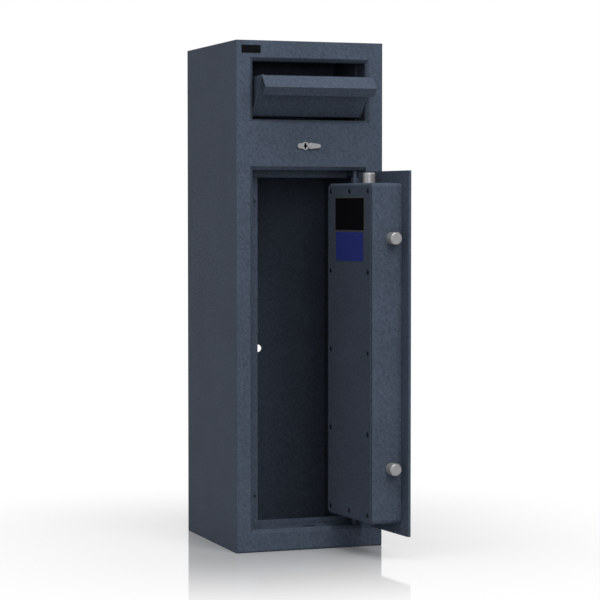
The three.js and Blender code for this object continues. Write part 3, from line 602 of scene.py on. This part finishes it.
class SAFE_OT_stage(bpy.types.Operator):
    """Set up the white floor, the lamps, the sky and the camera"""

    bl_idname = "safe.stage"
    bl_label = "Stage"

    def execute(self, context):
        stage = context.scene.safe_stage
        self.add_camera(context, stage)
        self.add_floor(context, stage)
        self.add_lamps(context, stage)
        self.set_sky(context, stage)
        context.scene.view_settings.view_transform = "Standard"
        return {"FINISHED"}

    def add_camera(self, context, stage):
        data = bpy.data.cameras.new("Camera")
        data.lens = stage.lens
        data.sensor_width = SENSOR_WIDTH
        data.clip_end = FARTHEST_SEEN
        camera = bpy.data.objects.new("Camera", data)
        camera.location = stage.eye
        level = math.radians(90)
        camera.rotation_euler = (level - stage.tilt, 0, -stage.turn)
        context.scene.collection.objects.link(camera)
        context.scene.camera = camera

    def add_floor(self, context, stage):
        reach = FLOOR_REACH
        mesh = bpy.data.meshes.new("floor")
        corners = [(-reach, -reach, 0), (reach, -reach, 0), (reach, reach, 0), (-reach, reach, 0)]
        mesh.from_pydata(corners, [], [(0, 1, 2, 3)])
        mesh.materials.append(self.floor_material(stage))
        floor = bpy.data.objects.new("floor", mesh)
        context.scene.collection.objects.link(floor)

    def floor_material(self, stage):
        """White gloss close to the body that fades to plain white further out"""
        material = bpy.data.materials.new("Studio floor")
        material.use_nodes = True
        tree = material.node_tree
        surface = tree.nodes["Principled BSDF"]
        surface.inputs["Roughness"].default_value = stage.floor_roughness
        surface.inputs["Metallic"].default_value = stage.floor_polish
        path = add_node(tree, "ShaderNodeLightPath")
        darker = (*(value * stage.bounce for value in stage.floor), 1)
        colour = add_node(tree, "ShaderNodeMix", {"A": (*stage.floor, 1), "B": darker}, data_type="RGBA")
        join(tree, path, "Is Diffuse Ray", colour, "Factor")
        join(tree, colour, "Result", surface, "Base Color")
        place = add_node(tree, "ShaderNodeTexCoord")
        beyond = self.distance_from_body(tree, place)
        fade = add_node(
            tree, "ShaderNodeMapRange", {"From Max": stage.floor_fade, "To Min": stage.floor_white},
            interpolation_type="SMOOTHSTEP",
        )
        join(tree, beyond, "Value", fade, "Value")
        seen = self.seen_directly(tree)
        amount = add_node(tree, "ShaderNodeMath", operation="MULTIPLY")
        join(tree, fade, "Result", amount, 0)
        join(tree, seen, "Value", amount, 1)
        white = add_node(tree, "ShaderNodeEmission", {"Color": (1, 1, 1, 1), "Strength": 1})
        blend = add_node(tree, "ShaderNodeMixShader")
        join(tree, amount, "Value", blend, "Fac")
        join(tree, surface, "BSDF", blend, 1)
        join(tree, white, "Emission", blend, 2)
        join(tree, blend, "Shader", tree.nodes["Material Output"], "Surface")
        return material

    def distance_from_body(self, tree, place):
        """How far a place on the floor lies outside the body's footprint"""
        low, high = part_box("outer_shell")
        mirrored = add_node(tree, "ShaderNodeVectorMath", operation="ABSOLUTE")
        join(tree, place, "Object", mirrored, 0)
        outside = add_node(tree, "ShaderNodeVectorMath", operation="SUBTRACT")
        outside.inputs[1].default_value = ((high.x - low.x) / 2, (high.y - low.y) / 2, 0)
        join(tree, mirrored, "Vector", outside, 0)
        kept = add_node(tree, "ShaderNodeVectorMath", operation="MAXIMUM")
        join(tree, outside, "Vector", kept, 0)
        distance = add_node(tree, "ShaderNodeVectorMath", operation="LENGTH")
        join(tree, kept, "Vector", distance, 0)
        return distance

    def seen_directly(self, tree):
        """One for camera, glossy and transmission rays, and zero for the light on the object"""
        path = add_node(tree, "ShaderNodeLightPath")
        shiny = add_node(tree, "ShaderNodeMath", operation="MAXIMUM")
        join(tree, path, "Is Glossy Ray", shiny, 0)
        join(tree, path, "Is Transmission Ray", shiny, 1)
        seen = add_node(tree, "ShaderNodeMath", operation="MAXIMUM")
        join(tree, shiny, "Value", seen, 0)
        join(tree, path, "Is Camera Ray", seen, 1)
        return seen

    def add_lamps(self, context, stage):
        for name, power, width, place, aim in LAMPS:
            data = bpy.data.lights.new(name, "AREA")
            data.energy = getattr(stage, power)
            data.size = width
            lamp = bpy.data.objects.new(name, data)
            lamp.location = place
            direction = Vector(aim) - Vector(place)
            lamp.rotation_euler = direction.to_track_quat("-Z", "Y").to_euler()
            context.scene.collection.objects.link(lamp)

    def set_sky(self, context, stage):
        """White where it is seen or mirrored, and softer as a light"""
        world = bpy.data.worlds.new("Studio")
        world.use_nodes = True
        tree = world.node_tree
        sky = tree.nodes["Background"]
        sky.inputs["Color"].default_value = (1, 1, 1, 1)
        seen = self.seen_directly(tree)
        strength = add_node(tree, "ShaderNodeMapRange", {"To Min": stage.ambient, "To Max": 1})
        join(tree, seen, "Value", strength, "Value")
        join(tree, strength, "Result", sky, "Strength")
        context.scene.world = world


class SAFE_OT_body(bpy.types.Operator):
    """Coat the shell, the panels, the door's frame and its rebate, with rounded edges"""

    bl_idname = "safe.body"
    bl_label = "Body"

    def execute(self, context):
        finish_copies(COAT_SHEETS, outer_coat(), context.scene.safe_coat.fold)
        finish_copies(("base_panel",), inner_coat(), context.scene.safe_coat.fold)
        return {"FINISHED"}


class SAFE_OT_deposit(bpy.types.Operator):
    """Coat the deposit chamber: its frame, chute walls, toothed baffle and lock cover"""

    bl_idname = "safe.deposit"
    bl_label = "Deposit chamber"

    def execute(self, context):
        finish_copies(DEPOSIT_SHEETS, inner_coat(), context.scene.safe_coat.fold)
        return {"FINISHED"}


class SAFE_OT_drawer(bpy.types.Operator):
    """Coat the drawer's panel with its grip, its cheeks and its tray"""

    bl_idname = "safe.drawer"
    bl_label = "Drawer"

    def execute(self, context):
        finish_copies(DRAWER_SHEETS, outer_coat(), context.scene.safe_coat.fold)
        return {"FINISHED"}


class SAFE_OT_door(bpy.types.Operator):
    """Coat the door's plate, box, inner cover and hinges"""

    bl_idname = "safe.door"
    bl_label = "Door"

    def execute(self, context):
        fold = context.scene.safe_coat.fold
        finish_copies(DOOR_SHEETS, outer_coat(), fold)
        finish_copies(("door_inner_cover",), inner_coat(), fold)
        finish_copies(HINGE_PARTS, outer_coat(), fold)
        return {"FINISHED"}


class SAFE_OT_bolts(bpy.types.Operator):
    """Turn the bolts with a chamfered nose: three polished, and the bottom one in the coat as painted shade,
    since it is polished too but lies in shade under the door box
    """

    bl_idname = "safe.bolts"
    bl_label = "Bolts"

    def execute(self, context):
        metal = context.scene.safe_metal
        side_direction = Vector(JOINTS["side_bolts_slide"]["axis"])
        for node in SIDE_BOLTS:
            self.add_bolt(node, side_direction, metal, polished_metal())
        self.add_bolt("top_bolt", Vector((0, 0, 1)), metal, polished_metal())
        # The bottom bolt is polished like the others; the coat on it is painted shade for the shade it lies
        # in under the door box
        self.add_bolt("bottom_bolt", Vector((0, 0, -1)), metal, outer_coat())
        return {"FINISHED"}

    def add_bolt(self, node, direction, metal, finish):
        points = [vertex.co for vertex in frame["nodes"][node].data.vertices]
        reach = [point.dot(direction) for point in points]
        low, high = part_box(node)
        middle = (low + high) / 2
        length = max(reach) - min(reach)
        tail = middle - direction * (length / 2)
        radius = max((point - tail - direction * (point - tail).dot(direction)).length for point in points)
        mesh = lathe(self.bolt_profile(radius, length, metal), metal.bolt_sides, along(direction, tail))
        new_piece(node + "_turned", mesh, finish, body_of(node), NODE_SLOTS[node], node)

    def bolt_profile(self, radius, length, metal):
        chamfer = metal.chamfer
        soften = metal.soften
        return [
            (0, 0), (radius - soften, 0), (radius, soften), (radius, length - chamfer - soften),
            (radius - soften / 2, length - chamfer), (radius - chamfer, length - soften / 2),
            (radius - chamfer - soften, length), (0, length),
        ]


class SAFE_OT_locks(bpy.types.Operator):
    """Finish the key plates, swing covers, key tubes and inner works"""

    bl_idname = "safe.locks"
    bl_label = "Locks and works"

    def execute(self, context):
        soften = context.scene.safe_metal.soften
        finish_copies(KEY_PLATES, polished_metal(), soften)
        finish_copies(KEY_TUBES, polished_metal(), soften / 2)
        finish_copies(INNER_WORKS, plated_steel(), soften)
        return {"FINISHED"}


class SAFE_OT_handle(bpy.types.Operator):
    """Finish the outer handle and its rose"""

    bl_idname = "safe.handle"
    bl_label = "Handle"

    def execute(self, context):
        soften = context.scene.safe_metal.soften
        finish_copies(("door_handle", "handle_rose"), polished_metal(), soften, steps=3)
        return {"FINISHED"}


class SAFE_OT_plates(bpy.types.Operator):
    """Finish the bare badge, data plate and blue label"""

    bl_idname = "safe.plates"
    bl_label = "Plates"

    def execute(self, context):
        plates = context.scene.safe_plates
        black = plate_material("Black plate", plates.black, roughness=0.36)
        blue = plate_material("Blue film", plates.blue, roughness=0.4)
        finish_copies(("front_badge", "data_plate"), black, plates.edge)
        finish_copies(("blue_label",), blue, plates.film / 2)
        self.add_margin(plates)
        return {"FINISHED"}

    def add_margin(self, plates):
        """The film that shows round the data plate"""
        low, high = shut_box("data_plate")
        grow = Vector((plates.margin, 0, plates.margin))
        mesh = rounded_film("plate_margin", low - grow, high + grow, plates.film, plates.corner)
        mesh.transform(DOOR_PLACE)
        grey = plate_material("Plate margin", plates.rim, roughness=0.4)
        new_piece("plate_margin", mesh, grey, "door", "black_plate")


class SAFE_OT_screws(bpy.types.Operator):
    """Set the screws of the inner cover, the rebate and the key plates"""

    bl_idname = "safe.screws"
    bl_label = "Screws"

    def execute(self, context):
        screws = context.scene.safe_screws
        tree = screw_tree()
        forward = Vector((0, -1, 0))
        backward = Vector((0, 1, 0))
        swing = DOOR_PLACE.to_3x3()
        cover = [DOOR_PLACE @ place for place in self.cover_places(screws)]
        rebate = self.rebate_places(screws)
        deposit_plate = [self.key_plate_place(*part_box("deposit_escutcheon"), screws)]
        door_plate = [DOOR_PLACE @ self.key_plate_place(*shut_box("door_escutcheon"), screws)]
        for name, places, outward, radius, body, material in (
            ("cover_screws", cover, swing @ backward, screws.head, "door", black_screws()),
            ("rebate_screws", rebate, forward, screws.rebate_head, "cabinet", black_screws()),
            ("deposit_plate_screw", deposit_plate, forward, screws.plate_head, "cabinet", plated_steel()),
            ("door_plate_screw", door_plate, swing @ forward, screws.plate_head, "door", plated_steel()),
        ):
            self.add_screws(name, tree, places, outward, radius, screws, body, material)
        return {"FINISHED"}

    def cover_places(self, screws):
        """On the box's flange, inside the holes of the cover"""
        low, high = shut_box("door_inner_cover")
        y = shut_box("door_box")[1].y
        low_z = low.z + screws.end_inset
        high_z = high.z - screws.end_inset
        places = [Vector(((low.x + high.x) / 2, y, z)) for z in (low_z, high_z)]
        for row in range(screws.rows):
            z = low_z + (high_z - low_z) * row / (screws.rows - 1)
            places.append(Vector((low.x + screws.lock_inset, y, z)))
            places.append(Vector((high.x - screws.hinge_inset, y, z)))
        return places

    def rebate_places(self, screws):
        low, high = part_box("rebate_ring")
        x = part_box("outer_shell")[0].x + screws.rebate_left
        heights = (low.z + screws.rebate_end, high.z - screws.rebate_end)
        return [Vector((x, low.y, height)) for height in heights]

    def key_plate_place(self, low, high, screws):
        """On the floor of the blind hole in the plate's left lobe"""
        return Vector((low.x + screws.plate_lobe, low.y + screws.plate_seat, (low.z + high.z) / 2))

    def add_screws(self, name, tree, places, outward, radius, screws, body, material):
        mesh = bpy.data.meshes.new(name + "_places")
        mesh.from_pydata([tuple(place) for place in places], [], [])
        builder = bpy.data.objects.new(name + "_work", mesh)
        bpy.context.scene.collection.objects.link(builder)
        modifier = builder.modifiers.new("Screws", "NODES")
        modifier.node_group = tree
        scale = radius / screws.head
        values = {
            "Head radius": radius,
            "Head height": screws.height * scale,
            "Socket radius": screws.socket * scale,
            "Turn": outward.to_track_quat("Z", "Y").to_euler(),
            "Finish": material,
        }
        for item in tree.interface.items_tree:
            if item.in_out == "INPUT" and item.name in values:
                modifier[item.identifier] = values[item.name]
        builder.update_tag()
        new_piece(name, baked_mesh(builder, name), material, body, "steel")


def screw_tree():
    """Socket screws with a chamfered head on every point of a mesh"""
    head_sides = 32
    socket_sides = 6
    crown_width = 0.72
    crown_rise = 0.4
    cutter_rise = 0.95
    tree = bpy.data.node_groups.new("Socket screws", "GeometryNodeTree")
    for name, kind in (
        ("Places", "Geometry"), ("Head radius", "Float"), ("Head height", "Float"),
        ("Socket radius", "Float"), ("Turn", "Vector"), ("Finish", "Material"),
    ):
        tree.interface.new_socket(name, in_out="INPUT", socket_type="NodeSocket" + kind)
    tree.interface.new_socket("Screws", in_out="OUTPUT", socket_type="NodeSocketGeometry")
    given = tree.nodes.new("NodeGroupInput")
    made = tree.nodes.new("NodeGroupOutput")
    head = add_node(tree, "GeometryNodeMeshCylinder", {"Vertices": head_sides})
    join(tree, given, "Head radius", head, "Radius")
    join(tree, given, "Head height", head, "Depth")
    crown = add_node(tree, "GeometryNodeMeshCone", {"Vertices": head_sides})
    crown_top = scaled(tree, given, "Head radius", crown_width)
    crown_height = scaled(tree, given, "Head height", crown_rise)
    join(tree, crown_top, "Value", crown, "Radius Top")
    join(tree, given, "Head radius", crown, "Radius Bottom")
    join(tree, crown_height, "Value", crown, "Depth")
    half_height = scaled(tree, given, "Head height", 0.5)
    lifted = lifted_mesh(tree, crown, "Mesh", half_height)
    whole = add_node(tree, "GeometryNodeMeshBoolean", operation="UNION")
    join(tree, head, "Mesh", whole, "Mesh 2")
    join(tree, lifted, "Geometry", whole, "Mesh 2")
    socket_cut = add_node(tree, "GeometryNodeMeshCylinder", {"Vertices": socket_sides})
    join(tree, given, "Socket radius", socket_cut, "Radius")
    join(tree, given, "Head height", socket_cut, "Depth")
    socket_rise = scaled(tree, given, "Head height", cutter_rise)
    cutter = lifted_mesh(tree, socket_cut, "Mesh", socket_rise)
    screw = add_node(tree, "GeometryNodeMeshBoolean", operation="DIFFERENCE")
    join(tree, whole, "Mesh", screw, "Mesh 1")
    join(tree, cutter, "Geometry", screw, "Mesh 2")
    seated = lifted_mesh(tree, screw, "Mesh", half_height)
    spread = tree.nodes.new("GeometryNodeInstanceOnPoints")
    join(tree, given, "Places", spread, "Points")
    join(tree, seated, "Geometry", spread, "Instance")
    join(tree, given, "Turn", spread, "Rotation")
    real = tree.nodes.new("GeometryNodeRealizeInstances")
    join(tree, spread, "Instances", real, "Geometry")
    coated = tree.nodes.new("GeometryNodeSetMaterial")
    join(tree, real, "Geometry", coated, "Geometry")
    join(tree, given, "Finish", coated, "Material")
    join(tree, coated, "Geometry", made, "Screws")
    return tree


def scaled(tree, source, output, share):
    node = add_node(tree, "ShaderNodeMath", operation="MULTIPLY")
    node.inputs[1].default_value = share
    join(tree, source, output, node, 0)
    return node


def lifted_mesh(tree, source, output, rise):
    """The mesh moved up its own axis"""
    offset = tree.nodes.new("ShaderNodeCombineXYZ")
    join(tree, rise, "Value", offset, "Z")
    moved = tree.nodes.new("GeometryNodeTransform")
    join(tree, source, output, moved, "Geometry")
    join(tree, offset, "Vector", moved, "Translation")
    return moved


class SAFE_PT_panel(bpy.types.Panel):
    """Lists the settings and the steps"""

    bl_idname = "SAFE_PT_panel"
    bl_label = "Drop Safe"
    bl_space_type = "VIEW_3D"
    bl_region_type = "UI"
    bl_category = "Drop Safe"

    def draw(self, context):
        for group, _ in SETTINGS:
            settings = getattr(context.scene, group)
            box = self.layout.box()
            for name in settings.__annotations__:
                box.prop(settings, name)
        for operator in STEPS:
            self.layout.operator(operator.bl_idname)


SETTINGS = (
    ("safe_coat", SafeCoat),
    ("safe_metal", SafeMetal),
    ("safe_screws", SafeScrews),
    ("safe_plates", SafePlates),
    ("safe_stage", SafeStage),
)
STEPS = (
    SAFE_OT_stage, SAFE_OT_body, SAFE_OT_deposit, SAFE_OT_drawer, SAFE_OT_door, SAFE_OT_bolts, SAFE_OT_locks,
    SAFE_OT_handle, SAFE_OT_plates, SAFE_OT_screws,
)


def register():
    for name, settings in SETTINGS:
        bpy.utils.register_class(settings)
        setattr(bpy.types.Scene, name, PointerProperty(type=settings))
    for step in STEPS:
        bpy.utils.register_class(step)
    bpy.utils.register_class(SAFE_PT_panel)


def unregister():
    bpy.utils.unregister_class(SAFE_PT_panel)
    for step in reversed(STEPS):
        bpy.utils.unregister_class(step)
    for name, settings in reversed(SETTINGS):
        delattr(bpy.types.Scene, name)
        bpy.utils.unregister_class(settings)


def main():
    register()
    bpy.ops.safe.stage()
    bpy.ops.safe.body()
    bpy.ops.safe.deposit()
    bpy.ops.safe.drawer()
    bpy.ops.safe.door()
    bpy.ops.safe.bolts()
    bpy.ops.safe.locks()
    bpy.ops.safe.handle()
    bpy.ops.safe.plates()
    bpy.ops.safe.screws()


if __name__ == "__main__":
    main()
